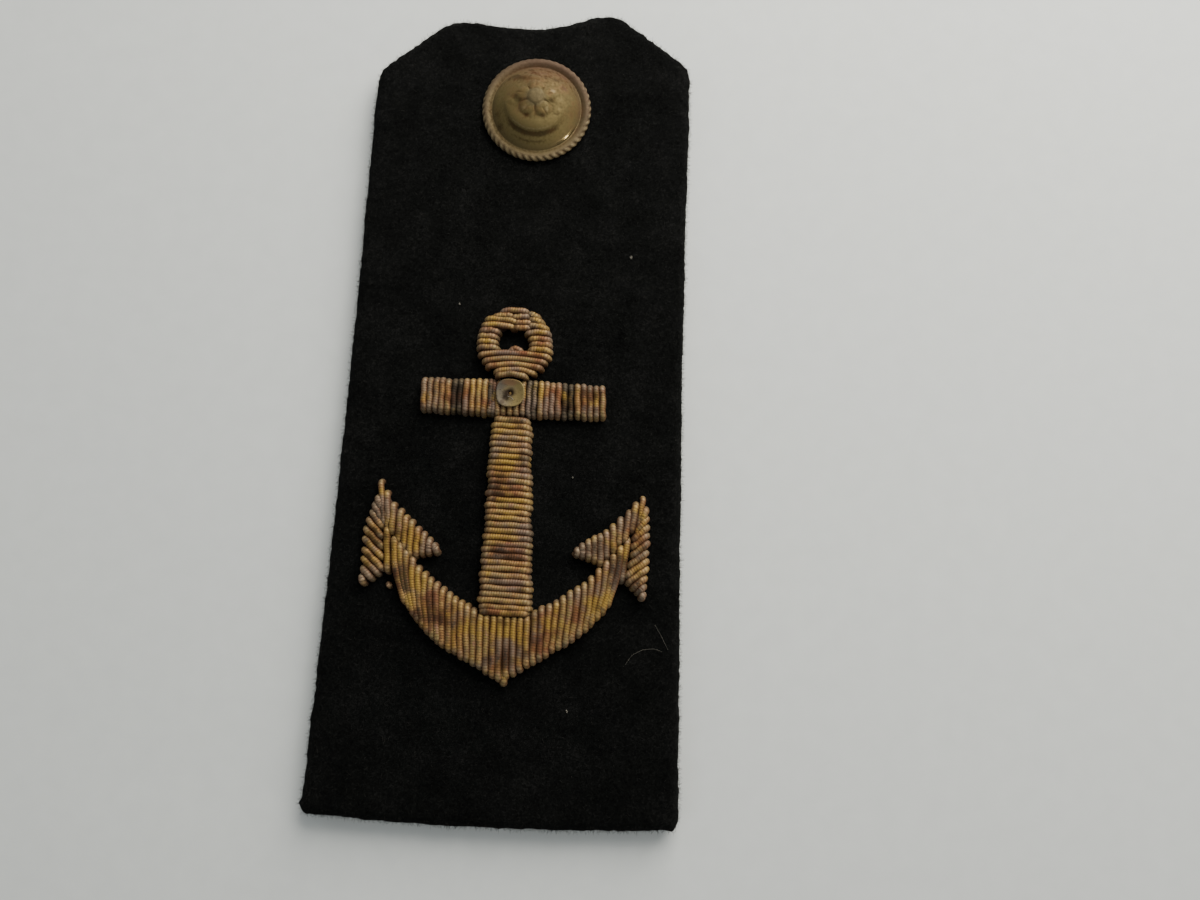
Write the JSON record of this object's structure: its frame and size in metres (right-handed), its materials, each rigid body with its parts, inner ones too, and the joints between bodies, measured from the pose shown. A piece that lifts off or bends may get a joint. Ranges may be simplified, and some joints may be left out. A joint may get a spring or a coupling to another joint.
{
  "type": "shoulder board",
  "caption": "Flat black cloth shoulder board with a tapered neck end, a domed brass button and a padded gold anchor.",
  "frame": {"origin": "centre of the underside", "axes": "+X to the right across the board, +Y along it to the neck end, +Z out of its face"},
  "size_m": [0.0492, 0.115, 0.0085],
  "materials": {
    "cloth": "black milled wool with a short nap",
    "button_brass": "dull gilt with brown tarnish in the hollows",
    "back_brass": "plain, dull",
    "gold_bullion": "gilt wire coil, tarnished",
    "dark_bullion": "wire coil gone dark",
    "spangle_brass": "dull"
  },
  "bodies": {
    "root": {"board": "cloth", "button_shell": "button_brass", "button_back": "back_brass", "anchor_ring": "gold_bullion", "stock_left_tip": "gold_bullion", "stock_left_outer_band": "dark_bullion", "stock_left_bar": "gold_bullion", "stock_left_inner_band": "dark_bullion", "stock_centre": "gold_bullion", "spangle": "spangle_brass", "stock_right_inner_band": "dark_bullion", "stock_right_bar": "gold_bullion", "stock_right_outer_band": "dark_bullion", "stock_right_tip": "gold_bullion", "shank": "gold_bullion", "crown": "gold_bullion", "arm_left": "gold_bullion", "arm_right": "gold_bullion", "fluke_left_inner": "gold_bullion", "fluke_left_outer": "gold_bullion", "fluke_right_inner": "gold_bullion", "fluke_right_outer": "gold_bullion"}
  },
  "joints": []
}
